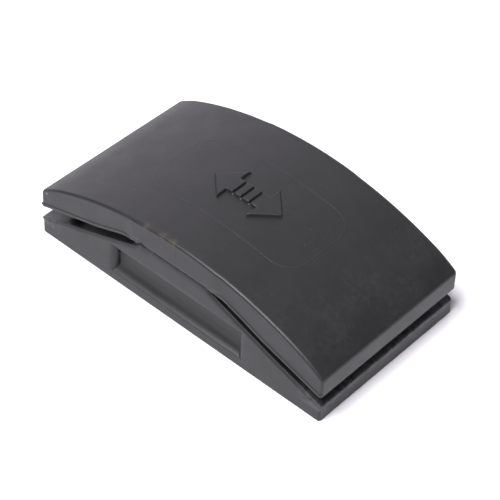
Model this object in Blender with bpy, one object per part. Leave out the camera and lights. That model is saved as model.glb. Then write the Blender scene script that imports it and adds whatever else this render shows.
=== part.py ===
"""Rubber hand sanding block for a quarter-sheet strip of abrasive paper.

One arched rubber shell sits on a wedge-sided rubber base. A slanted slot at
each end takes one end of the paper, and three steel pins inside each slot
hold it. Each end of the shell is a flap that bends up to let the paper in.

Frame: metres, +Z up, +X along the stroke, origin at the centre of the sole.
Run: blender --background --python part.py
"""

import math

import bmesh
import bpy
from mathutils import Vector

MM = 0.001

# Driving dimensions
LENGTH = 127.0 * MM          # shell, end to end
WIDTH = 69.8 * MM            # shell, side to side
HEIGHT = 35.2 * MM           # sole to crown
BASE_LENGTH = 126.8 * MM     # the base stands a little inside the shell
BASE_WIDTH = 69.2 * MM
SHELL_END_Z = 19.7 * MM      # where the arch meets the end faces
PARTING_Z = 24.8 * MM        # seam between base and shell, between the slots
GAP = 0.3 * MM               # between neighbouring pieces

# The two slots
SLOT_ROOT_X = 16.5 * MM
SLOT_ROOT_Z = 23.0 * MM      # inner end of the lower jaw
LOWER_JAW_END_Z = 6.4 * MM
UPPER_JAW_END_Z = 11.2 * MM
UPPER_JAW_KNEE = (22.5 * MM, 24.5 * MM)
UPPER_JAW_MID = (35.5 * MM, 19.5 * MM)
UPPER_JAW_ROOT_Z = 23.4 * MM

# The flaps, the bending strips behind them, and the bridge between
HINGE_X = 16.6 * MM
HINGE_Z = 23.6 * MM
BRIDGE_HALF = 14.0 * MM
FLAP_START_X = 19.0 * MM

# Edge rounding
CORNER_R = 1.6 * MM          # upright corners
RIM_R = 1.4 * MM             # the shell's top rim
EDGE_R = 0.6 * MM            # all other outer edges

# Finger grooves
GROOVE_HALF = 27.8 * MM
GROOVE_Z = (4.2 * MM, 16.0 * MM)
GROOVE_DEPTH = 3.3 * MM
GROOVE_COVE_R = 2.3 * MM     # floor into back wall
GROOVE_LIP_R = 2.7 * MM      # rounded shoulder at each end
GROOVE_CORNER_R = 0.5 * MM   # end wall into back wall

# Steel pins that hold the paper
PIN_X = 50.0 * MM
PIN_Y = 22.0 * MM
PIN_R = 0.9 * MM
PIN_HEAD_R = 2.4 * MM
PIN_HEAD_T = 1.2 * MM
PIN_FOOT_Z = 4.4 * MM
PIN_TIP_Z = 17.6 * MM
PIN_POINT = 3.0 * MM
PIN_POCKET_R = 2.3 * MM
PIN_POCKET_TOP_Z = 21.0 * MM

# Raised arrow on the crown
ARROW_HALF = 13.7 * MM
ARROW_HEAD = 8.0 * MM
ARROW_HEAD_HALF_W = 8.2 * MM
ARROW_SHAFT_HALF_W = 3.2 * MM
ARROW_RAISE = 0.9 * MM

ARCH_RISE = HEIGHT - SHELL_END_Z
ARCH_R = ((LENGTH / 2) ** 2 + ARCH_RISE**2) / (2 * ARCH_RISE)


def clear_scene():
    for obj in list(bpy.data.objects):
        bpy.data.objects.remove(obj, do_unlink=True)
    for mesh in list(bpy.data.meshes):
        bpy.data.meshes.remove(mesh)


def principled(name, color, roughness, metallic=0.0):
    material = bpy.data.materials.new(name)
    material.use_nodes = True
    shader = material.node_tree.nodes["Principled BSDF"]
    shader.inputs["Base Color"].default_value = (*color, 1.0)
    shader.inputs["Roughness"].default_value = roughness
    shader.inputs["Metallic"].default_value = metallic
    material.diffuse_color = (*color, 1.0)
    return material


def arch_z(x, raised=0.0):
    """Height of the arched top at x, or of a surface that far above it."""
    r = ARCH_R + raised
    return HEIGHT - ARCH_R + math.sqrt(r * r - x * x)


def arch_points(x0, x1, step, raised=0.0):
    count = max(2, round(abs(x1 - x0) / step))
    spots = [x0 + (x1 - x0) * i / count for i in range(count + 1)]
    return [(x, arch_z(x, raised)) for x in spots]


def lower_jaw_z(x):
    run = BASE_LENGTH / 2 - SLOT_ROOT_X
    rise = SLOT_ROOT_Z - LOWER_JAW_END_Z
    return LOWER_JAW_END_Z + (BASE_LENGTH / 2 - abs(x)) * rise / run


def arc(cx, cy, r, start, end, steps):
    """Points on a circle's arc, with both angles in degrees."""
    angles = [math.radians(start + (end - start) * i / steps) for i in range(steps + 1)]
    return [(cx + r * math.cos(a), cy + r * math.sin(a)) for a in angles]


def prism(outline, axis, low, high):
    """A closed prism: a flat outline carried along one axis.

    The outline is (x, z) for axis Y, (x, y) for axis Z and (y, z) for axis X.
    """
    place = {
        "X": lambda a, b, t: (t, a, b),
        "Y": lambda a, b, t: (a, t, b),
        "Z": lambda a, b, t: (a, b, t),
    }[axis]
    bm = bmesh.new()
    face = bm.faces.new([bm.verts.new(place(a, b, low)) for a, b in outline])
    moved = bmesh.ops.extrude_face_region(bm, geom=[face])
    verts = [item for item in moved["geom"] if isinstance(item, bmesh.types.BMVert)]
    shift = Vector(place(0.0, 0.0, high)) - Vector(place(0.0, 0.0, low))
    bmesh.ops.translate(bm, verts=verts, vec=shift)
    bmesh.ops.recalc_face_normals(bm, faces=bm.faces)
    return bm


def round_edges(bm, radius, segments, wanted):
    """Rounds the edges whose two face normals pass the test."""
    bm.normal_update()
    edges = []
    for edge in bm.edges:
        if len(edge.link_faces) != 2:
            continue
        first, second = (face.normal for face in edge.link_faces)
        if wanted(edge, first, second) or wanted(edge, second, first):
            edges.append(edge)
    bmesh.ops.bevel(
        bm,
        geom=edges,
        offset=radius,
        offset_type="OFFSET",
        segments=segments,
        profile=0.5,
        affect="EDGES",
        clamp_overlap=True,
    )


def upright_corner(edge, first, second):
    """An upright edge between an end face and a side face."""
    along = (edge.verts[1].co - edge.verts[0].co).normalized()
    return abs(along.z) > 0.99 and abs(first.x) > 0.9 and abs(second.y) > 0.9


def add_object(name, bm, material, origin=(0.0, 0.0, 0.0), parent=None):
    """Turns a bmesh in world coordinates into an object with this origin."""
    bmesh.ops.translate(bm, verts=bm.verts, vec=-Vector(origin))
    mesh = bpy.data.meshes.new(name)
    bm.to_mesh(mesh)
    bm.free()
    for polygon in mesh.polygons:
        polygon.use_smooth = True
    mesh.set_sharp_from_angle(angle=math.radians(32.0))
    obj = bpy.data.objects.new(name, mesh)
    bpy.context.scene.collection.objects.link(obj)
    obj.location = origin
    if material is not None:
        mesh.materials.append(material)
    if parent is not None:
        obj.parent = parent
        obj.matrix_parent_inverse = parent.matrix_world.inverted()
    return obj


def add_cutter(name, bm):
    obj = add_object(name, bm, None)
    obj.hide_render = True
    obj.display_type = "WIRE"
    return obj


def boolean(obj, other, operation):
    modifier = obj.modifiers.new(other.name, "BOOLEAN")
    modifier.operation = operation
    modifier.solver = "EXACT"
    modifier.object = other


def lathe(points, segments, centre):
    """A closed turned solid about an upright axis, from (radius, z) points."""
    bm = bmesh.new()
    verts = [bm.verts.new((r, 0.0, z)) for r, z in points]
    edges = [bm.edges.new(pair) for pair in zip(verts[:-1], verts[1:])]
    bmesh.ops.spin(
        bm,
        geom=verts + edges,
        cent=(0.0, 0.0, 0.0),
        axis=(0.0, 0.0, 1.0),
        angle=2 * math.pi,
        steps=segments,
        use_merge=True,
    )
    bmesh.ops.remove_doubles(bm, verts=bm.verts, dist=1e-6)
    bmesh.ops.recalc_face_normals(bm, faces=bm.faces)
    bmesh.ops.translate(bm, verts=bm.verts, vec=centre)
    return bm


def pin_spots(side):
    x = side * PIN_X
    return [(x, -PIN_Y, "front"), (x, 0.0, "middle"), (x, PIN_Y, "rear")]


def base_outline():
    """The base's long side: sole, end faces, slanted jaws and flat seat."""
    half = BASE_LENGTH / 2
    seat_z = PARTING_Z - GAP / 2
    seat_x = SLOT_ROOT_X - 2.0 * MM
    right = [
        (half, 0.0),
        (half, LOWER_JAW_END_Z),
        (SLOT_ROOT_X, SLOT_ROOT_Z),
        (seat_x, seat_z),
    ]
    return right + [(-x, z) for x, z in reversed(right)]


def groove_cutter(side, name):
    """The finger groove's space: its plan met with its cove section."""
    face_y = BASE_WIDTH / 2
    back_y = face_y - GROOVE_DEPTH
    out_y = face_y + 4.0 * MM
    low, high = GROOVE_Z

    lip, corner = GROOVE_LIP_R, GROOVE_CORNER_R
    right = [(GROOVE_HALF + lip, out_y)]
    right += arc(GROOVE_HALF + lip, face_y - lip, lip, 90, 180, 6)
    right += arc(GROOVE_HALF - corner, back_y + corner, corner, 0, -90, 4)
    plan = right + [(-x, y) for x, y in reversed(right)]
    plan = [(x, side * y) for x, y in plan]

    cove = GROOVE_COVE_R
    section = [(out_y, low), (out_y, high), (back_y + 1.0 * MM, high)]
    section += arc(back_y + 1.0 * MM, high - 1.0 * MM, 1.0 * MM, 90, 180, 3)[1:]
    section += arc(back_y + cove, low + cove, cove, 180, 270, 8)
    section = [(side * y, z) for y, z in section]

    plan_cutter = add_cutter(name, prism(plan, "Z", low - 1.0 * MM, high + 1.0 * MM))
    reach = GROOVE_HALF + 2 * lip
    boolean(
        plan_cutter,
        add_cutter(name + "_section", prism(section, "X", -reach, reach)),
        "INTERSECT",
    )
    return plan_cutter


def pin_cavity(x, y, name):
    """The moulded hollow round a pin: a wide one for its head, a bore above."""
    low = PIN_FOOT_Z - GAP
    neck = PIN_FOOT_Z + PIN_HEAD_T + GAP
    top = lower_jaw_z(x) + 3.0 * MM
    wide, narrow = PIN_HEAD_R + GAP, PIN_R + GAP
    points = [(0.0, low), (wide, low), (wide, neck), (narrow, neck), (narrow, top), (0.0, top)]
    return add_cutter(name, lathe(points, 16, (x, y, 0.0)))


def build_base(rubber, root):
    bm = prism(base_outline(), "Y", -BASE_WIDTH / 2, BASE_WIDTH / 2)
    round_edges(bm, CORNER_R, 5, upright_corner)

    def side_rim(edge, first, second):
        upright = abs(first.z) < 0.2 and abs(second.z) > 0.5
        return upright and abs(first.x) + abs(first.y) > 0.9

    round_edges(bm, EDGE_R, 2, side_rim)
    base = add_object("base_block", bm, rubber, parent=root)
    boolean(base, groove_cutter(-1, "cut_groove_front"), "DIFFERENCE")
    boolean(base, groove_cutter(1, "cut_groove_rear"), "DIFFERENCE")
    for side, word in ((-1, "left"), (1, "right")):
        for x, y, place in pin_spots(side):
            boolean(base, pin_cavity(x, y, f"cut_pin_{word}_{place}"), "DIFFERENCE")
    return base


def arrow_outline():
    shaft = ARROW_HALF - ARROW_HEAD
    quarter = [
        (ARROW_HALF, 0.0),
        (shaft, ARROW_HEAD_HALF_W),
        (shaft, ARROW_SHAFT_HALF_W),
    ]
    upper = quarter + [(-x, y) for x, y in reversed(quarter)]
    lower = [(x, -y) for x, y in reversed(upper[1:-1])]
    return upper + lower


def shell_rim(edge, first, second):
    """The shell's top rim along its two long sides."""
    return abs(first.y) > 0.9 and second.z > 0.6


def build_bridge(rubber, root):
    """The middle of the shell, which never moves, with the arrow on it."""
    floor_z = PARTING_Z + GAP / 2
    outline = [(-BRIDGE_HALF, floor_z), (BRIDGE_HALF, floor_z)]
    outline += arch_points(BRIDGE_HALF, -BRIDGE_HALF, 1.5 * MM)
    bm = prism(outline, "Y", -WIDTH / 2, WIDTH / 2)
    round_edges(bm, RIM_R, 4, shell_rim)
    bridge = add_object("crown_bridge", bm, rubber, parent=root)

    arrow_bm = prism(arrow_outline(), "Z", HEIGHT - 3.0 * MM, HEIGHT + 3.0 * MM)
    round_edges(arrow_bm, 0.5 * MM, 2, lambda edge, a, b: abs(a.z) < 0.1 and abs(b.z) < 0.1)
    arrow = add_cutter("form_arrow", arrow_bm)
    reach = BRIDGE_HALF + 2.0 * MM
    slab = [(-reach, HEIGHT - 2.0 * MM), (reach, HEIGHT - 2.0 * MM)]
    slab += arch_points(reach, -reach, 1.5 * MM, raised=ARROW_RAISE)
    slab_bm = prism(slab, "Y", -WIDTH / 4, WIDTH / 4)
    boolean(arrow, add_cutter("form_arrow_top", slab_bm), "INTERSECT")
    boolean(bridge, arrow, "UNION")
    return bridge


def upper_jaw_z(x):
    """Underside of the shell over a slot, from the slot's root outwards."""
    knots = [
        (SLOT_ROOT_X, UPPER_JAW_ROOT_Z),
        UPPER_JAW_KNEE,
        UPPER_JAW_MID,
        (LENGTH / 2, UPPER_JAW_END_Z),
    ]
    for (x0, z0), (x1, z1) in zip(knots[:-1], knots[1:]):
        if abs(x) <= x1:
            break
    return z0 + (abs(x) - x0) / (x1 - x0) * (z1 - z0)


def build_hinge_strip(side, name, rubber, root):
    """The rubber above a slot's root, which bends when the flap lifts."""
    inner, outer = BRIDGE_HALF + GAP, FLAP_START_X - GAP
    seat_z = PARTING_Z + GAP / 2
    outline = [
        (inner, seat_z),
        (SLOT_ROOT_X - 2.0 * MM, seat_z),
        (SLOT_ROOT_X + GAP / 2, UPPER_JAW_ROOT_Z),
        (outer, upper_jaw_z(outer)),
    ]
    outline += arch_points(outer, inner, 1.5 * MM)
    outline = [(side * x, z) for x, z in outline]
    bm = prism(outline, "Y", -WIDTH / 2, WIDTH / 2)
    round_edges(bm, RIM_R, 4, shell_rim)
    origin = (side * HINGE_X, 0.0, HINGE_Z)
    return add_object(name, bm, rubber, origin, root)


def build_flap(side, name, rubber, pivot):
    """One end of the shell: arched above, flat below, with pin pockets."""
    half = LENGTH / 2
    outline = [
        (FLAP_START_X, upper_jaw_z(FLAP_START_X)),
        UPPER_JAW_KNEE,
        UPPER_JAW_MID,
        (half, UPPER_JAW_END_Z),
    ]
    end_facet = CORNER_R + RIM_R + 0.9 * MM
    outline.append((half, SHELL_END_Z))
    outline += arch_points(half - end_facet, FLAP_START_X, 1.8 * MM)
    outline = [(side * x, z) for x, z in outline]
    bm = prism(outline, "Y", -WIDTH / 2, WIDTH / 2)

    def outer_corner(edge, first, second):
        return upright_corner(edge, first, second) and side * first.x > 0.9

    def facing_out(normal):
        return abs(normal.z) < 0.2 and side * normal.x > -0.5

    round_edges(bm, CORNER_R, 5, outer_corner)
    round_edges(bm, RIM_R, 4, lambda edge, a, b: facing_out(a) and b.z > 0.6)
    round_edges(bm, EDGE_R, 2, lambda edge, a, b: facing_out(a) and b.z < -0.6)
    flap = add_object(name, bm, rubber, tuple(pivot.location), pivot)
    for x, y, place in pin_spots(side):
        low = lower_jaw_z(x) + 2.0 * MM
        points = [
            (0.0, low),
            (PIN_POCKET_R, low),
            (PIN_POCKET_R, PIN_POCKET_TOP_Z),
            (0.0, PIN_POCKET_TOP_Z),
        ]
        bore = lathe(points, 20, (x, y, 0.0))
        boolean(flap, add_cutter(f"cut_{name}_{place}", bore), "DIFFERENCE")
    return flap


def build_pin(x, y, name, steel, root):
    """A headed steel pin, its head in the base and its point in the slot."""
    foot, neck = PIN_FOOT_Z, PIN_FOOT_Z + PIN_HEAD_T
    points = [
        (0.0, foot),
        (PIN_HEAD_R - 0.3 * MM, foot),
        (PIN_HEAD_R, foot + 0.3 * MM),
        (PIN_HEAD_R, neck - 0.3 * MM),
        (PIN_HEAD_R - 0.3 * MM, neck),
        (PIN_R, neck),
        (PIN_R, PIN_TIP_Z - PIN_POINT),
        (0.15 * MM, PIN_TIP_Z - 0.1 * MM),
        (0.0, PIN_TIP_Z),
    ]
    return add_object(name, lathe(points, 16, (x, y, 0.0)), steel, (x, y, foot), root)


def add_empty(name, location, parent=None):
    empty = bpy.data.objects.new(name, None)
    empty.empty_display_size = 0.01
    empty.location = location
    bpy.context.scene.collection.objects.link(empty)
    if parent is not None:
        empty.parent = parent
    return empty


def main():
    clear_scene()
    rubber = principled("charcoal_rubber", (0.075, 0.075, 0.082), 0.55)
    steel = principled("pin_steel", (0.55, 0.55, 0.56), 0.3, 1.0)

    root = add_empty("block_root", (0.0, 0.0, 0.0))
    build_base(rubber, root)
    build_bridge(rubber, root)
    for side, word in ((-1, "left"), (1, "right")):
        pivot = add_empty(f"{word}_pivot", (side * HINGE_X, 0.0, HINGE_Z), root)
        bpy.context.view_layer.update()
        build_hinge_strip(side, f"living_hinge_{word}", rubber, root)
        build_flap(side, f"flap_{word}", rubber, pivot)
        for x, y, place in pin_spots(side):
            build_pin(x, y, f"pin_{word}_{place}", steel, root)


main()
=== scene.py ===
import math

import bmesh
import bpy
from mathutils import Matrix, Vector, noise


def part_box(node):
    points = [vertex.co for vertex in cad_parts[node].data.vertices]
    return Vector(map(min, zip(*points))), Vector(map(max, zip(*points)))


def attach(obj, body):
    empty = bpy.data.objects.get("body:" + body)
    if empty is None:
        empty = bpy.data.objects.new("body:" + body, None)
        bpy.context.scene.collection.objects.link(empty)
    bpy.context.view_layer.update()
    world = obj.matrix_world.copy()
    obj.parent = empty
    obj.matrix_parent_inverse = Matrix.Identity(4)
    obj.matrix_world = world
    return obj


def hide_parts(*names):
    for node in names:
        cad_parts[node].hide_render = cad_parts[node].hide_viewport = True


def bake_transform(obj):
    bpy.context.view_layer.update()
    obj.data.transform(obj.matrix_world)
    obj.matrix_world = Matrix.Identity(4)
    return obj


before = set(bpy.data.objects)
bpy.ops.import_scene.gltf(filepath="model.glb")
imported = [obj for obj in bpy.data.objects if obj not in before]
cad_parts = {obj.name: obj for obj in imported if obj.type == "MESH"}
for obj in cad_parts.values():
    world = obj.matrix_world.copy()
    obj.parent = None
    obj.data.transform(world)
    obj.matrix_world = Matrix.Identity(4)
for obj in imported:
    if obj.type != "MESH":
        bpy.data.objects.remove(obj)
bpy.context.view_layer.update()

MM = 0.001

# Outer sizes in millimetres, read from the frame
SHELL_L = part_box("flap_right")[1][0] / MM
SHELL_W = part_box("flap_right")[1][1] / MM
BASE_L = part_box("base_block")[1][0] / MM + 0.1
BASE_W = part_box("base_block")[1][1] / MM
SEAM_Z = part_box("crown_bridge")[0][2] / MM

# The rest of the shape, in millimetres
CROWN_Z = 35.2
SHELL_END_Z = 19.7
LOWER_END_Z = 6.4
LOWER_SLOPE = 0.3545
GROOVE_HALF = 27.8
GROOVE_LOW, GROOVE_HIGH = 4.3, 15.9
GROOVE_DEPTH = 2.7
PIN_X = 50.0
PIN_Y = 22.0
POCKET_R, POCKET_TOP_Z = 2.3, 21.0
ARCH_RISE = CROWN_Z - SHELL_END_Z
ARCH_R = (SHELL_L**2 + ARCH_RISE**2) / (2 * ARCH_RISE)

# Mesh density and edge rounding
ACROSS = 58
STEP = 1.15
SIDE_ROWS = 14
CORNER_R = 1.0
RIM_R = 1.05
END_RIM_R = 0.8
END_DROOP = 0.95
DROOP_START = 54.0
END_ZONE = 2.1

# How far the base's top dips along a slot, and sinks between its side walls
SLOT_DIP = 0.3
SLOT_SINK = 1.4


def smooth(low, high, value):
    t = min(max((value - low) / (high - low), 0.0), 1.0)
    return t * t * (3 - 2 * t)


def lerp_knots(value, knots):
    """Straight-line interpolation through (position, height) knots."""
    for (a, za), (b, zb) in zip(knots[:-1], knots[1:]):
        if value <= b:
            return za + (zb - za) * (value - a) / (b - a)
    return knots[-1][1]


def span(low, high, count):
    return [low + (high - low) * i / count for i in range(count + 1)]


def wobble(x, y, z, size, seed=0.0):
    """Smooth noise from -1 to 1 whose lumps are about this many mm across."""
    return noise.noise(Vector((x / size + seed, y / size, z / size)))


# ---------------------------------------------------------------- the shape


def arch_z(x):
    return CROWN_Z - ARCH_R + math.sqrt(ARCH_R**2 - x * x)


def lower_jaw_z(x):
    return LOWER_END_Z + (BASE_L - abs(x)) * LOWER_SLOPE


def slot_root(x):
    """Where the slot on this side ends: the two are moulded a little apart."""
    return 17.9 if x < 0 else 15.1


def seam_z(x):
    """The moulding line between base and shell, which wanders a little."""
    return SEAM_Z + 0.22 * wobble(x, 0.0, 0.0, 2.6, 4.0)


# Underside of the shell over each slot, as (distance from the middle, height)
LEFT_JAW = ((18.0, 23.6), (21.0, 24.0), (23.8, 24.1), (26.5, 23.2), (35.5, 19.8), (63.5, 11.8))
RIGHT_JAW = ((15.2, 24.1), (20.4, 24.8), (22.5, 24.3), (28.4, 22.3), (38.3, 18.5), (63.5, 10.9))


def shell_low_z(x):
    """Underside of the shell: the seam, the slot's root, then the jaw."""
    a, root = abs(x), slot_root(x)
    knots = ((0.0, SEAM_Z), (root - 2.0, SEAM_Z)) + (LEFT_JAW if x < 0 else RIGHT_JAW)
    wander = (seam_z(x) - SEAM_Z) * (1 - smooth(root - 2.0, root, a))
    return lerp_knots(a, knots) + wander


def base_top_z(x):
    a, root = abs(x), slot_root(x)
    if a >= root:
        along = smooth(root, root + 4.0, a) * (1 - smooth(44.0, 52.0, a))
        return lower_jaw_z(a) - SLOT_DIP * along
    share = max(0.0, (a - root + 2.0) / 2.0)
    seat = seam_z(x) + 0.3 * (1 - smooth(root - 5.0, root - 2.0, a))
    return seat + share * (lower_jaw_z(root) - seat)


def drawn_in(x, half, radius):
    """How far an end rounded to this radius has drawn in at x."""
    into = min(max(abs(x) - (half - radius), 0.0), radius)
    return radius - math.sqrt(radius**2 - into**2)


def quarter(cy, cz, r, start, steps):
    """Points of a quarter circle in (y, z), clockwise from the angle start."""
    angles = [math.radians(start - 90.0 * i / steps) for i in range(steps + 1)]
    return [(cy + r * math.cos(a), cz + r * math.sin(a)) for a in angles]


def mirrored(points):
    return [(-y, z) for y, z in reversed(points)]


def rim_profile(w, top, ridge):
    """The shell's upper edge: a hair-thin moulding ridge, then the rounding."""
    r = RIM_R
    points = [(w - r - 0.5, top), (w - r - 0.26, top + 0.5 * ridge)]
    points += [(w - r - 0.12, top + ridge), (w - r + 0.04, top + 0.5 * ridge)]
    return points + quarter(w - r, top - r, r, 78, 7)


def shell_ring(x):
    """The shell's cross-section at x, clockwise seen from +X, as (y, z)."""
    w = SHELL_W - drawn_in(x, SHELL_L, CORNER_R)
    droop = END_DROOP * (max(abs(x) - DROOP_START, 0.0) / (SHELL_L - DROOP_START)) ** 2
    top = arch_z(x) - droop - 1.2 * drawn_in(x, SHELL_L, END_RIM_R)
    low = shell_low_z(x) + drawn_in(x, SHELL_L, 0.5)
    jaw = smooth(slot_root(x) + 1.0, slot_root(x) + 5.0, abs(x))
    b, rise = 1.0 - 0.8 * jaw, 1.15 - 0.95 * jaw
    inner = w - 0.2 * jaw
    ridge = 0.068 * smooth(-26, -8, x) * (0.7 + 0.3 * wobble(x, 0, 0, 5, 2))
    edge = rim_profile(inner, top, ridge)
    ys = span(-edge[0][0], edge[0][0], ACROSS)
    side = edge[1:] + [(inner, z) for z in span(edge[-1][1], low + 1.5, SIDE_ROWS)[1:]]
    side += [(0.5 * (inner + w), low + 1.4), (w, low + 1.24), (w, low + 0.62 + 0.5 * rise)]
    for i in range(6):
        a = math.radians(18.0 * i)
        side.append((w - b + b * math.cos(a), low + rise - rise * math.sin(a)))
    ring = [(y, top) for y in ys] + side
    ring += [(-y, low) for y in span(-(w - b), w - b, ACROSS)[1:]]
    return ring + mirrored(side[:-1])


def groove_section():
    """The finger groove from its upper edge down, as (depth, z)."""
    high, low, deep = GROOVE_HIGH, GROOVE_LOW, GROOVE_DEPTH
    points = [(0.0, high + 0.3), (0.05, high + 0.1), (0.2, high), (0.8, high)]
    for i in range(7):
        a = math.radians(15.0 * i)
        points.append((deep - 1.2 + 1.2 * math.sin(a), high - 1.2 + 1.2 * math.cos(a)))
    hollow = (deep - 0.3) / (1 - math.cos(math.radians(60.0)))
    turn = low + hollow * math.sin(math.radians(60.0))
    points += [(deep, z) for z in span(high - 1.2, turn, 4)[1:-1]]
    for i in range(14):
        a = math.radians(60.0 * i / 13)
        points.append((deep - hollow + hollow * math.cos(a), turn - hollow * math.sin(a)))
    return points + [(0.08, low - 0.12), (0.0, low - 0.35)]


GROOVE = groove_section()


def groove_end():
    """The groove's end in plan, from outside inwards, as (x, depth)."""
    lip, corner = 2.7, 0.45
    points = []
    for i in range(10):
        a = math.radians(10.0 * i)
        points.append((GROOVE_HALF + lip - lip * math.sin(a), lip - lip * math.cos(a)))
    points.append((GROOVE_HALF, GROOVE_DEPTH - corner))
    for i in range(1, 6):
        a = math.radians(18.0 * i)
        points.append(
            (
                GROOVE_HALF - corner + corner * math.cos(a),
                GROOVE_DEPTH - corner + corner * math.sin(a),
            )
        )
    return points


GROOVE_END = groove_end()


# The base's upper side edge, as (in from the side, down from the top)
JAW_EDGE = ((0.62, 0.0), (0.53, 0.03), (0.47, 0.12), (0.07, 1.02), (0.0, 1.25))
SEAM_EDGE = ((0.9, 0.0), (0.64, 0.22), (0.38, 0.62), (0.14, 1.2), (0.0, 1.9))


def base_ring(x, depth):
    """The base's cross-section at x, with grooves of at most this depth."""
    w = BASE_W - drawn_in(x, BASE_L, CORNER_R)
    top = base_top_z(x) - drawn_in(x, BASE_L, 0.5)
    root = slot_root(x)
    jaw = smooth(root - 4.0, root + 2.5, abs(x))
    b = 0.35
    foot = drawn_in(x, BASE_L, b)
    side = []
    for (seam_in, seam_down), (jaw_in, jaw_down) in zip(SEAM_EDGE, JAW_EDGE):
        inwards = seam_in + (jaw_in - seam_in) * jaw
        side.append((w - inwards, top - seam_down - (jaw_down - seam_down) * jaw))
    edge_y, edge_z = side[0][0], side[-1][1]
    fit = min(1.0, (edge_z - 0.15 - b) / (GROOVE[0][1] - b))
    side += [(w, z) for z in span(edge_z, b + (GROOVE[0][1] - b) * fit, 4)[1:-1]]
    side += [(w - min(d, depth), b + (z - b) * fit) for d, z in GROOVE]
    side += [(w, z) for z in span(side[-1][1], b + foot, 4)[1:]]
    side += quarter(w - b, b + foot, b, 0, 4)[1:]
    a = abs(x)
    sunk = SLOT_SINK * smooth(root - 0.3, root + 4.0, a) * (1 - smooth(46.5, 52.5, a))
    floor = [(y, top - sunk) for y in span(-edge_y + 0.6, edge_y - 0.6, ACROSS - 4)]
    ring = [(-edge_y, top), (-edge_y + 0.22, top)] + floor
    ring += [(edge_y - 0.22, top), (edge_y, top)] + side[1:]
    ring += [(-y, foot) for y in span(-(w - b), w - b, ACROSS)[1:]]
    return ring + mirrored(side[1:-1])


def end_stations(half):
    """Stations through a rounded end, close together where it turns in."""
    return [half - END_ZONE * (1 - math.sin(math.radians(7.5 * i))) for i in range(1, 13)]


def even_stations(start, stop, step=STEP):
    return span(start, stop, max(1, round((stop - start) / step)))


def shell_stations(side):
    """Stations from the middle to the end of one half of the shell."""
    root = slot_root(side)
    half = even_stations(0.0, root - 2.0) + even_stations(root - 2.0, root + 0.1, 0.5)[1:]
    half += even_stations(root + 0.1, 27.0, 0.7)[1:]
    half += even_stations(27.0, SHELL_L - END_ZONE)[1:] + end_stations(SHELL_L)
    return [side * x for x in half]


def base_stations(side):
    """(x, groove depth) pairs from the middle of the base to one end."""
    deep = GROOVE_DEPTH
    root = slot_root(side)
    inner, outer = GROOVE_END[-1][0], GROOVE_END[0][0]
    half = [(x, deep) for x in even_stations(0.0, root - 2.0, 0.9)]
    half += [(x, deep) for x in even_stations(root - 2.0, root, 0.5)[1:]]
    half += [(x, deep) for x in even_stations(root, inner)[1:-1]]
    half += list(reversed(GROOVE_END))
    half += [(x, 0.0) for x in even_stations(outer, BASE_L - END_ZONE)[1:]]
    half += [(x, 0.0) for x in end_stations(BASE_L)]
    return [(side * x, depth) for x, depth in half]


def close_end(bm, ring):
    """Fills an end with quads between the points that face each other."""
    size = len(ring)
    turn = (size - 2 * ACROSS) // 2
    under = [ring[ACROSS + turn + i] for i in range(ACROSS + 1)]
    for i in range(ACROSS):
        bm.faces.new((ring[i], ring[i + 1], under[ACROSS - i - 1], under[ACROSS - i]))
    bm.faces.new(ring[ACROSS : ACROSS + turn + 1])
    bm.faces.new([ring[0]] + list(reversed(ring[ACROSS + turn + ACROSS :])))


def skin(bm, rings):
    """A closed skin through cross-sections given as (x, points)."""
    rows = []
    for x, ring in rings:
        rows.append([bm.verts.new((x, y, z)) for y, z in ring])
    for a, b in zip(rows[:-1], rows[1:]):
        for j in range(len(a)):
            k = (j + 1) % len(a)
            bm.faces.new((a[j], a[k], b[k], b[j]))
    close_end(bm, rows[0])
    close_end(bm, rows[-1])
    bmesh.ops.remove_doubles(bm, verts=bm.verts, dist=1e-4)
    bmesh.ops.dissolve_degenerate(bm, edges=bm.edges, dist=1e-4)
    bmesh.ops.recalc_face_normals(bm, faces=bm.faces)


def unevenness(x, y, z):
    """How far moulded rubber strays from its drawing, in millimetres."""
    return 0.035 * wobble(x, y, z, 19.0, 1.0) + 0.016 * wobble(x, y, z, 6.0, 7.0)


# Upper edge of the sunken web beside each slot's root
WEB_TOP = ((11.0, 24.8), (12.5, 25.1), (14.2, 25.6), (17.2, 26.9), (19.5, 26.4), (23.5, 24.2))


def web_recess(x, z):
    """How much of the sunken, mottled web lies at this point of a side."""
    a = abs(x)
    if not 11.0 < a < 23.5:
        return 0.0
    reach = 0.35 if x > 0 else 1.0
    below = smooth(-0.1, 0.55, lerp_knots(a, WEB_TOP) - z)
    return reach * below * smooth(11.0, 12.5, a) * (1 - smooth(22.0, 23.5, a))


def weather(bm):
    """Moulding unevenness, and the web sunk into each side by a slot's root."""
    bm.normal_update()
    moves = []
    for vert in bm.verts:
        x, y, z = vert.co
        move = vert.normal * unevenness(x, y, z)
        if abs(vert.normal.y) > 0.4 and 22.0 < z < 28.0:
            inwards = web_recess(x, z) * (0.4 + 0.34 * wobble(x, y, z, 1.3, 3.0))
            inwards *= smooth(22.0, 24.3, z)
            ragged = (1 - smooth(0.5, 1.7, abs(z - SEAM_Z))) * (1 - smooth(15.0, 19.0, abs(x)))
            inwards += 0.16 * ragged * (0.4 + wobble(x, y, z, 1.4, 9.0))
            move.y -= math.copysign(inwards, y)
        if z < 0.8:
            move = Vector()
        elif abs(x) > BASE_L - 0.1:
            move *= 0.5
        moves.append((vert, move))
    for vert, move in moves:
        vert.co += move


def to_object(name, bm):
    """Makes an object in metres from a mesh in millimetres."""
    bmesh.ops.scale(bm, vec=(MM, MM, MM), verts=bm.verts)
    mesh = bpy.data.meshes.new(name)
    bm.to_mesh(mesh)
    bm.free()
    obj = bpy.data.objects.new(name, mesh)
    bpy.context.scene.collection.objects.link(obj)
    return obj


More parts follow.
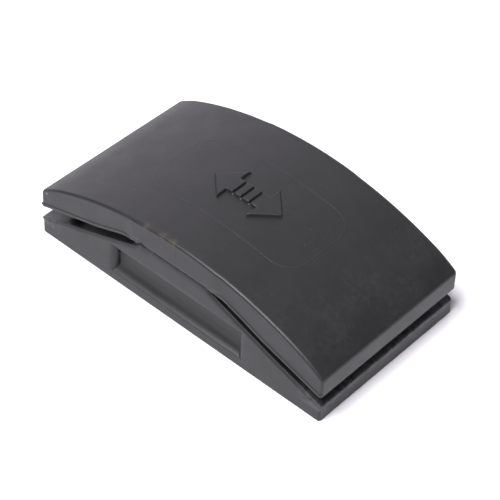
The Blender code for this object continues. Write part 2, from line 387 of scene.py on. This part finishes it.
def finish_shading(obj, angle=38.0):
    mesh = obj.data
    for polygon in mesh.polygons:
        polygon.use_smooth = True
    mesh.set_sharp_from_angle(angle=math.radians(angle))


def mark_wear(obj, reach):
    """Stores how sharply the surface turns, but not where two halves meet."""
    bm = bmesh.new()
    bm.from_mesh(obj.data)
    bm.normal_update()
    values = []
    for vert in bm.verts:
        turn = 0.0
        for edge in vert.link_edges:
            out = edge.other_vert(vert).co - vert.co
            if out.length > 1e-7:
                turn = max(turn, -out.normalized().dot(vert.normal))
        clear_of_join = smooth(0.3, 1.0, abs(vert.co.x) / MM)
        values.append(smooth(0.08, reach, turn) * clear_of_join)
    bm.free()
    layer = obj.data.attributes.new("wear", "FLOAT", "POINT")
    layer.data.foreach_set("value", values)


def mark_rest(obj):
    """Stores each point's place at rest, so that a bend drags no pattern."""
    layer = obj.data.attributes.new("rest_mm", "FLOAT_VECTOR", "POINT")
    flat = []
    for vert in obj.data.vertices:
        flat += [coordinate / MM for coordinate in vert.co]
    layer.data.foreach_set("vector", flat)


# ---------------------------------------------------------------- pieces


def witness_path():
    """Half of the faint plate outline on top, as (x, y), for x above zero."""
    half_x, half_y, r = 33.0, 16.8, 9.0
    points = [(x, -half_y) for x in even_stations(0.0, half_x - r)]
    for sign in (-1, 1):
        cx, cy = half_x - r, sign * (half_y - r)
        start = -90.0 if sign < 0 else 0.0
        turn = [math.radians(start + 90.0 * i / 12) for i in range(13)]
        points += [(cx + r * math.cos(a), cy + r * math.sin(a)) for a in turn]
    points += [(x, half_y) for x in reversed(even_stations(0.0, half_x - r))]
    return points


def add_witness_line(bm, side):
    """Sweeps the outline as a very low ridge, sunk into the top's surface."""
    path = witness_path()
    path = [p for i, p in enumerate(path) if i == 0 or math.dist(p, path[i - 1]) > 0.05]
    profile = [(-0.36, -0.08), (-0.2, 0.015), (0.0, 0.045)]
    profile += [(0.2, 0.015), (0.36, -0.08), (0.0, -0.3)]
    rows = []
    for i, (x, y) in enumerate(path):
        before, after = path[max(i - 1, 0)], path[min(i + 1, len(path) - 1)]
        along = Vector((after[0] - before[0], after[1] - before[1])).normalized()
        row = []
        for across, up in profile:
            px, py = x - along.y * across, y + along.x * across
            px = max(px, 0.0)
            lift = unevenness(side * px, py, arch_z(px))
            row.append(bm.verts.new((side * px, py, arch_z(px) + up + lift)))
        rows.append(row)
    faces = []
    for a, b in zip(rows[:-1], rows[1:]):
        for j in range(len(profile)):
            k = (j + 1) % len(profile)
            faces.append(bm.faces.new((a[j], a[k], b[k], b[j])))
    faces.append(bm.faces.new(rows[0]))
    faces.append(bm.faces.new(rows[-1]))
    bmesh.ops.recalc_face_normals(bm, faces=faces)


def pocket_cutter(side):
    """Three round pockets in a flap's underside, one over each pin."""
    bm = bmesh.new()
    for y in (-PIN_Y, 0.0, PIN_Y):
        low = lower_jaw_z(PIN_X) + 1.0
        made = bmesh.ops.create_cone(
            bm,
            cap_ends=True,
            segments=40,
            radius1=POCKET_R,
            radius2=POCKET_R,
            depth=POCKET_TOP_Z - low,
        )
        centre = Vector((side * PIN_X, y, (POCKET_TOP_Z + low) / 2))
        bmesh.ops.translate(bm, vec=centre, verts=made["verts"])
    return to_object("pocket_cutter", bm)


def cut_and_apply(obj, cutter):
    modifier = obj.modifiers.new("pockets", "BOOLEAN")
    modifier.operation = "DIFFERENCE"
    modifier.solver = "EXACT"
    modifier.object = cutter
    graph = bpy.context.evaluated_depsgraph_get()
    mesh = bpy.data.meshes.new_from_object(obj.evaluated_get(graph))
    obj.modifiers.clear()
    obj.data = mesh
    bpy.data.objects.remove(cutter, do_unlink=True)


def build_shell_half(side, word, material):
    """The bridge's half, the bending web and the flap, as one smooth body."""
    bm = bmesh.new()
    skin(bm, [(x, shell_ring(x)) for x in shell_stations(side)])
    weather(bm)
    shell = to_object(f"rubber_shell_{word}", bm)
    cut_and_apply(shell, pocket_cutter(side))
    finish_shading(shell)
    mark_wear(shell, 0.5)
    mark_rest(shell)
    shell.data.materials.clear()
    shell.data.materials.append(material)
    return shell


def build_witness_half(side, word, material):
    bm = bmesh.new()
    add_witness_line(bm, side)
    line = to_object(f"plate_outline_{word}", bm)
    finish_shading(line, 80.0)
    mark_wear(line, 0.5)
    mark_rest(line)
    line.data.materials.append(material)
    return line


def build_lip(name, half, width, z, reach, material):
    """A thin moulding lip along the left end face, swept from side to side."""
    ys = span(-width, width, 60)
    bm = bmesh.new()
    rows = []
    for i, y in enumerate(ys):
        fade = smooth(0, 2, i) * smooth(0, 2, len(ys) - 1 - i)
        out = reach * (0.8 + 0.5 * wobble(0.0, y, z, 6.0, 5.0)) * (0.6 + 0.4 * fade)
        profile = [(-0.5, -0.62), (0.05, -0.5), (0.7 * out, -0.24), (out, 0.02)]
        profile += [(0.75 * out, 0.22), (0.05, 0.5), (-0.5, 0.66)]
        rows.append([bm.verts.new((-half - d, y, z + up)) for d, up in profile])
    for a, b in zip(rows[:-1], rows[1:]):
        for j in range(len(a)):
            k = (j + 1) % len(a)
            bm.faces.new((a[j], a[k], b[k], b[j]))
    bm.faces.new(rows[0])
    bm.faces.new(rows[-1])
    bmesh.ops.recalc_face_normals(bm, faces=bm.faces)
    lip = to_object(name, bm)
    finish_shading(lip, 70.0)
    mark_wear(lip, 0.5)
    mark_rest(lip)
    lip.data.materials.append(material)
    return lip


def build_base(material):
    """The wedge-sided base with a finger groove along each long side."""
    stations = list(reversed(base_stations(-1))) + base_stations(1)[1:]
    bm = bmesh.new()
    skin(bm, [(x, base_ring(x, depth)) for x, depth in stations])
    weather(bm)
    base = to_object("rubber_base", bm)
    finish_shading(base)
    mark_wear(base, 0.5)
    mark_rest(base)
    base.data.materials.append(material)
    return base


# The arrow that shows which way the block is pushed, in millimetres
ARROW_HALF = 15.2
ARROW_HEAD = 8.8
ARROW_HEAD_HALF_W = 8.8
ARROW_SHAFT_HALF_W = 3.7
ARROW_RAISE = 1.0
ARROW_CUTS = (-3.6, 0.0, 3.6)
ARROW_CUT_HALF_W = 0.5


def arrow_distance(x, y):
    """Distance outside the arrow's outline, negative inside it."""
    a, b = abs(x), abs(y)
    neck = ARROW_HALF - ARROW_HEAD
    slope = Vector((ARROW_HEAD_HALF_W, ARROW_HEAD)).normalized()
    head = max((a - ARROW_HALF) * slope.x + b * slope.y, neck - a)
    shaft = max(b - ARROW_SHAFT_HALF_W, a - neck - 1.0)
    return min(head, shaft)


def arrow_cut(x):
    """One in the middle of a groove across the arrow, zero away from it."""
    away = min(abs(x - middle) for middle in ARROW_CUTS)
    return 1 - smooth(ARROW_CUT_HALF_W - 0.15, ARROW_CUT_HALF_W + 0.15, away)


def arrow_height(distance):
    """The raised edge's section: a small fillet, a wall and a rounded top."""
    if distance > 0.45:
        return -0.25
    if distance > 0.0:
        return -0.25 + 0.35 * (1 - distance / 0.45) ** 2
    rise = smooth(-0.1, 1.05, -distance / 0.45)
    return 0.1 + (ARROW_RAISE - 0.1) * min(1.0, rise**0.6)


def build_arrow(material):
    """The arrow alone, standing out of the crown and sunk a little into it."""
    pitch = 0.17
    nx, ny = round((ARROW_HALF + 1.2) / pitch), round((ARROW_HEAD_HALF_W + 1.2) / pitch)
    bm = bmesh.new()
    grid = {}
    for i in range(-nx, nx + 1):
        for j in range(-ny, ny + 1):
            x, y = i * pitch, j * pitch
            distance = arrow_distance(x, y)
            if distance < 0.75:
                lift = unevenness(x, y, arch_z(x))
                raised = arrow_height(distance)
                raised -= 0.8 * arrow_cut(x) * max(0.0, raised)
                z = arch_z(x) + raised + lift
                grid[i, j] = bm.verts.new((x, y, z))
    for i, j in list(grid):
        corners = [(i, j), (i + 1, j), (i + 1, j + 1), (i, j + 1)]
        if all(corner in grid for corner in corners):
            bm.faces.new([grid[corner] for corner in corners])
    loose = [vert for vert in bm.verts if not vert.link_faces]
    bmesh.ops.delete(bm, geom=loose, context="VERTS")
    rim = [edge for edge in bm.edges if edge.is_boundary]
    made = bmesh.ops.extrude_edge_only(bm, edges=rim)
    lower = [item for item in made["geom"] if isinstance(item, bmesh.types.BMVert)]
    for vert in lower:
        vert.co.z = CROWN_Z - 2.2
    bottom = [item for item in made["geom"] if isinstance(item, bmesh.types.BMEdge)]
    bmesh.ops.contextual_create(bm, geom=[e for e in bottom if e.is_boundary])
    bmesh.ops.recalc_face_normals(bm, faces=bm.faces)
    arrow = to_object("direction_arrow", bm)
    finish_shading(arrow, 60.0)
    mark_wear(arrow, 0.35)
    mark_rest(arrow)
    arrow.data.materials.append(material)
    return arrow


def build_pin(node, material):
    """A headed pin turned to a sharp point, in the place of its CAD node."""
    low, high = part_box(node)
    centre_x, centre_y = (low[0] + high[0]) / 2 / MM, (low[1] + high[1]) / 2 / MM
    foot, tip = low[2] / MM, high[2] / MM
    head_r = (high[0] - low[0]) / 2 / MM
    r = 0.9
    profile = [(0.0, foot), (head_r - 0.3, foot), (head_r, foot + 0.3)]
    profile += [(head_r, foot + 0.9), (head_r - 0.3, foot + 1.2), (r + 0.25, foot + 1.2)]
    profile += [(r, foot + 1.45), (r, tip - 3.1), (r - 0.03, tip - 2.8)]
    profile += [(r * (1 - t) + 0.07 * t, tip - 2.8 * (1 - t)) for t in (0.25, 0.5, 0.75, 0.97)]
    profile.append((0.0, tip))
    bm = bmesh.new()
    verts = [bm.verts.new((radius, 0.0, z)) for radius, z in profile]
    edges = [bm.edges.new(pair) for pair in zip(verts[:-1], verts[1:])]
    bmesh.ops.spin(
        bm,
        geom=verts + edges,
        cent=(0, 0, 0),
        axis=(0, 0, 1),
        angle=2 * math.pi,
        steps=36,
        use_merge=True,
    )
    bmesh.ops.remove_doubles(bm, verts=bm.verts, dist=1e-3)
    bmesh.ops.recalc_face_normals(bm, faces=bm.faces)
    bmesh.ops.translate(bm, vec=(centre_x, centre_y, 0.0), verts=bm.verts)
    pin = to_object(f"steel_{node}", bm)
    finish_shading(pin, 30.0)
    mark_rest(pin)
    pin.data.materials.append(material)
    return pin


# ---------------------------------------------------------------- materials


class Nodes:
    """Short calls for building a material's nodes."""

    def __init__(self, name):
        self.material = bpy.data.materials.new(name)
        self.material.use_nodes = True
        self.tree = self.material.node_tree
        self.shader = self.tree.nodes["Principled BSDF"]
        self.place = self.attribute("rest_mm", "Vector")

    def add(self, kind, **settings):
        node = self.tree.nodes.new(kind)
        for key, value in settings.items():
            setattr(node, key, value)
        return node

    def link(self, source, target):
        if isinstance(source, (int, float)):
            target.default_value = source
        else:
            self.tree.links.new(source, target)

    def attribute(self, name, output):
        return self.add("ShaderNodeAttribute", attribute_name=name).outputs[output]

    def noise(self, size, detail=3.0, roughness=0.55, stretch=None, distortion=0.0):
        """Noise whose lumps are about this many millimetres across."""
        node = self.add("ShaderNodeTexNoise")
        place = self.place
        if stretch is not None:
            mapping = self.add("ShaderNodeMapping")
            mapping.inputs["Scale"].default_value = stretch[0]
            mapping.inputs["Rotation"].default_value = stretch[1]
            self.link(place, mapping.inputs["Vector"])
            place = mapping.outputs["Vector"]
        self.link(place, node.inputs["Vector"])
        node.inputs["Scale"].default_value = 1.0 / size
        node.inputs["Detail"].default_value = detail
        node.inputs["Roughness"].default_value = roughness
        node.inputs["Distortion"].default_value = distortion
        return node.outputs["Fac"]

    def math(self, operation, a, b=0.0):
        node = self.add("ShaderNodeMath", operation=operation)
        self.link(a, node.inputs[0])
        self.link(b, node.inputs[1])
        return node.outputs[0]

    def band(self, value, low, high, to_low=0.0, to_high=1.0):
        """Maps low..high onto to_low..to_high, smoothly and clamped."""
        node = self.add("ShaderNodeMapRange", interpolation_type="SMOOTHSTEP")
        self.link(value, node.inputs["Value"])
        for key, number in zip(
            ("From Min", "From Max", "To Min", "To Max"), (low, high, to_low, to_high)
        ):
            node.inputs[key].default_value = number
        return node.outputs["Result"]

    def mix(self, factor, a, b):
        """Mixes two colours, each a socket or an (r, g, b)."""
        node = self.add("ShaderNodeMix", data_type="RGBA")
        self.link(factor, node.inputs[0])
        for source, target in ((a, node.inputs[6]), (b, node.inputs[7])):
            if isinstance(source, tuple):
                target.default_value = (*source, 1.0)
            else:
                self.link(source, target)
        return node.outputs[2]

    def bump(self, height, depth_mm, after=None):
        node = self.add("ShaderNodeBump")
        node.inputs["Distance"].default_value = depth_mm * MM
        self.link(height, node.inputs["Height"])
        if after is not None:
            self.link(after, node.inputs["Normal"])
        return node.outputs["Normal"]

    def coordinate(self, axis):
        split = self.add("ShaderNodeSeparateXYZ")
        self.link(self.place, split.inputs[0])
        return split.outputs[axis]


def near_point(nodes, point, radius, soft):
    """One near a point in millimetres, falling to zero at the radius."""
    away = nodes.add("ShaderNodeVectorMath", operation="DISTANCE")
    nodes.link(nodes.place, away.inputs[0])
    away.inputs[1].default_value = point
    return nodes.band(away.outputs["Value"], radius - soft, radius, 1.0, 0.0)


# A pale nick at the left end, and tan scuffs on the front edge, as places and radii
PALE_NICK = ((-60.9, -34.9, 18.9), 0.75)
TAN_SCUFFS = (
    ((-13.7, -33.8, 34.4), 2.6),
    ((-6.4, -34.0, 34.6), 2.2),
    ((-1.7, -34.0, 34.7), 2.6),
)


def charcoal_rubber():
    """Satin moulded rubber: cloudy charcoal, fine grain, scuffs and wear."""
    n = Nodes("charcoal_rubber")
    clouds = n.noise(21.0, 3.0, 0.55)
    blotches = n.noise(5.5, 4.0, 0.6, distortion=0.6)
    grain = n.noise(0.55, 3.0, 0.6)
    wear = n.attribute("wear", "Fac")

    color = n.mix(n.band(clouds, 0.3, 0.7), (0.0112, 0.0107, 0.0121), (0.0136, 0.0130, 0.0147))
    color = n.mix(n.math("MULTIPLY", n.band(blotches, 0.5, 0.75), 0.3), color, (0.0180, 0.0173, 0.0192))
    color = n.mix(n.math("MULTIPLY", n.band(grain, 0.55, 0.75), 0.3), color, (0.0235, 0.0227, 0.0248))

    rubbed = n.math("MULTIPLY", wear, n.band(n.noise(2.4, 3.0, 0.6), 0.42, 0.66))
    color = n.mix(n.math("MULTIPLY", rubbed, 0.35), color, (0.06, 0.058, 0.062))

    # Lighter colour at the jaws' mouths is painted light on the shaded slot mouths, together with
    # sanding dust; on the far right top it is sanding dust.
    dust_and_painted_light = n.math("MULTIPLY", dust_and_painted_light_places(n), n.band(n.noise(2.1, 5.0, 0.7), 0.35, 0.65))
    color = n.mix(n.math("MULTIPLY", dust_and_painted_light, 0.8), color, (0.075, 0.073, 0.077))

    specks = n.band(n.noise(0.9, 2.0, 0.5), 0.75, 0.79)
    color = n.mix(n.math("MULTIPLY", specks, 0.5), color, (0.11, 0.108, 0.112))
    color = n.mix(near_point(n, *PALE_NICK, 0.5), color, (0.16, 0.155, 0.165))

    scuffs = n.band(n.noise(1.3, 4.0, 0.7), 0.4, 0.6)
    tan = None
    for point, radius in TAN_SCUFFS:
        spot = n.math("MULTIPLY", near_point(n, point, radius, radius), scuffs)
        tan = spot if tan is None else n.math("MAXIMUM", tan, spot)
    color = n.mix(n.math("MULTIPLY", tan, 0.42), color, (0.12, 0.096, 0.068))

    n.link(color, n.shader.inputs["Base Color"])
    rough = n.band(n.noise(9.0, 4.0, 0.6), 0.3, 0.7, 0.43, 0.49)
    rough = n.math("ADD", rough, n.math("MULTIPLY", scratch_lines(n), -0.08))
    n.link(rough, n.shader.inputs["Roughness"])
    n.shader.inputs["Specular IOR Level"].default_value = 0.5

    bump = n.bump(n.noise(3.2, 4.0, 0.55), 0.03)
    bump = n.bump(grain, 0.022, bump)
    bump = n.bump(n.noise(0.2, 2.0, 0.5), 0.01, bump)
    bump = n.bump(scratch_lines(n), 0.02, bump)
    n.link(bump, n.shader.inputs["Normal"])
    return n.material


def dust_and_painted_light_places(n):
    """One where the colour is lightened: at the jaws' mouths this is painted light on the shaded slot
    mouths, together with sanding dust; on the far right top it is sanding dust.
    """
    x = n.math("ABSOLUTE", n.coordinate(0))
    z = n.coordinate(2)
    # Painted light together with sanding dust: the jaws' mouths, which lie in shade, are lightened.
    mouth = n.math("MULTIPLY", n.band(x, 52.0, 60.0), n.band(z, 3.6, 5.2))
    mouth = n.math("MULTIPLY", mouth, n.band(z, 9.5, 11.5, 1.0, 0.0))
    worn_top = n.math("MULTIPLY", n.band(n.coordinate(0), 24.0, 48.0), n.band(z, 18.0, 20.0))
    worn_top = n.math("MULTIPLY", worn_top, n.band(n.noise(15.0, 2.0, 0.5), 0.35, 0.65))
    return n.math("MAXIMUM", mouth, n.math("MULTIPLY", worn_top, 0.17))


def scratch_lines(n):
    """Sparse hairline scratches running three ways."""
    lines = None
    for turn, seed_scale, low in ((0.5, 1.0, 0.735), (-0.7, 1.3, 0.75), (1.3, 0.8, 0.745)):
        stretch = ((0.055 * seed_scale, 1.9, 1.0), (0.0, 0.0, turn))
        hair = n.band(n.noise(0.8, 1.0, 0.4, stretch=stretch), low, low + 0.02)
        lines = hair if lines is None else n.math("MAXIMUM", lines, hair)
    patches = n.band(n.noise(13.0, 2.0, 0.5), 0.46, 0.6)
    return n.math("MULTIPLY", lines, patches)


def pin_steel():
    """Bright drawn steel with fine turning marks and a little dulling."""
    n = Nodes("pin_steel")
    stain = n.band(n.noise(1.1, 4.0, 0.6), 0.45, 0.7)
    color = n.mix(stain, (0.62, 0.61, 0.6), (0.36, 0.34, 0.32))
    n.link(color, n.shader.inputs["Base Color"])
    n.shader.inputs["Metallic"].default_value = 1.0
    n.link(n.band(n.noise(0.5, 3.0, 0.6), 0.3, 0.7, 0.22, 0.42), n.shader.inputs["Roughness"])
    rings = n.noise(0.35, 2.0, 0.5, stretch=((0.15, 0.15, 1.6), (0.0, 0.0, 0.0)))
    n.link(n.bump(rings, 0.01), n.shader.inputs["Normal"])
    return n.material


def floor_paper():
    """Matt pale paper under the block."""
    material = bpy.data.materials.new("floor_paper")
    material.use_nodes = True
    shader = material.node_tree.nodes["Principled BSDF"]
    shader.inputs["Base Color"].default_value = (0.9, 0.885, 0.93, 1.0)
    shader.inputs["Roughness"].default_value = 0.9
    shader.inputs["Specular IOR Level"].default_value = 0.1
    return material


# ---------------------------------------------------------------- the set


def add_camera():
    """A long lens at the reference picture's angle, with its slight tilt."""
    azimuth, elevation, roll = (math.radians(a) for a in (39.694, 43.213, 3.475))
    distance = 0.6292
    target = Vector((0.0, 0.0, 0.015))
    back = Vector(
        (
            math.sin(azimuth) * math.cos(elevation),
            -math.cos(azimuth) * math.cos(elevation),
            math.sin(elevation),
        )
    )
    level = Vector((math.cos(azimuth), math.sin(azimuth), 0.0))
    upright = back.cross(level)
    right = level * math.cos(roll) + upright * math.sin(roll)
    up = upright * math.cos(roll) - level * math.sin(roll)
    data = bpy.data.cameras.new("camera")
    data.lens = 133.55
    data.sensor_width = 36.0
    data.shift_x = 0.0086
    data.shift_y = -0.0231
    camera = bpy.data.objects.new("camera", data)
    turn = Matrix((right, up, back)).transposed().to_4x4()
    camera.matrix_world = Matrix.Translation(target + back * distance) @ turn
    bpy.context.scene.collection.objects.link(camera)
    bpy.context.scene.camera = camera


def add_softbox(name, place, size, power):
    """A square area light that faces the block."""
    data = bpy.data.lights.new(name, "AREA")
    data.shape = "SQUARE"
    data.size = size
    data.energy = power
    light = bpy.data.objects.new(name, data)
    light.location = place
    aim = Vector((0.0, 0.0, 0.02)) - Vector(place)
    light.rotation_euler = aim.to_track_quat("-Z", "Y").to_euler()
    bpy.context.scene.collection.objects.link(light)


def add_world(color, towards, dark, bright):
    """A soft sky that is brightest towards one side and dark opposite it."""
    world = bpy.data.worlds.new("studio")
    world.use_nodes = True
    tree = world.node_tree
    background = tree.nodes["Background"]
    background.inputs["Color"].default_value = (*color, 1.0)
    place = tree.nodes.new("ShaderNodeTexCoord")
    along = tree.nodes.new("ShaderNodeVectorMath")
    along.operation = "DOT_PRODUCT"
    tree.links.new(place.outputs["Generated"], along.inputs[0])
    along.inputs[1].default_value = Vector(towards).normalized()
    curve = tree.nodes.new("ShaderNodeMath")
    curve.operation = "POWER"
    curve.use_clamp = True
    tree.links.new(along.outputs["Value"], curve.inputs[0])
    curve.inputs[1].default_value = 2.5
    ramp = tree.nodes.new("ShaderNodeMapRange")
    tree.links.new(curve.outputs[0], ramp.inputs["Value"])
    ramp.inputs["To Min"].default_value = dark
    ramp.inputs["To Max"].default_value = bright
    tree.links.new(ramp.outputs["Result"], background.inputs["Strength"])
    bpy.context.scene.world = world


def add_floor():
    bm = bmesh.new()
    bmesh.ops.create_grid(bm, x_segments=4, y_segments=4, size=2500.0)
    floor = to_object("floor", bm)
    floor.location.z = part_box("base_block")[0][2] - 0.0002
    floor.data.materials.append(floor_paper())


def add_studio():
    add_floor()
    add_world((1.0, 0.965, 1.04), (-0.6, 0.8, 0.0), 0.13, 1.66)
    add_softbox("overhead", (-0.07, -0.62, 1.4), 0.7, 38.0)
    bpy.context.scene.view_settings.view_transform = "Standard"


def build_block():
    rubber = charcoal_rubber()
    steel = pin_steel()

    base = build_base(rubber)
    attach(base, "block")
    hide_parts("base_block")

    for side, word in ((-1, "left"), (1, "right")):
        shell = build_shell_half(side, word, rubber)
        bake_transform(shell)
        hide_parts(f"flap_{word}", f"living_hinge_{word}")
        line = build_witness_half(side, word, rubber)
        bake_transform(line)

    flap_lip_z = shell_low_z(-SHELL_L) + 0.8
    flap_lip = build_lip("mould_lip_flap", SHELL_L, SHELL_W - 0.35, flap_lip_z, 0.75, rubber)
    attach(flap_lip, "left_flap")
    base_lip_z = LOWER_END_Z - 0.6
    base_lip = build_lip("mould_lip_base", BASE_L, BASE_W - 0.35, base_lip_z, 0.85, rubber)
    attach(base_lip, "block")

    arrow = build_arrow(rubber)
    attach(arrow, "block")
    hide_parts("crown_bridge")

    for word in ("left", "right"):
        for place in ("front", "middle", "rear"):
            node = f"pin_{word}_{place}"
            pin = build_pin(node, steel)
            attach(pin, "block")
            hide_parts(node)


add_camera()
build_block()
add_studio()
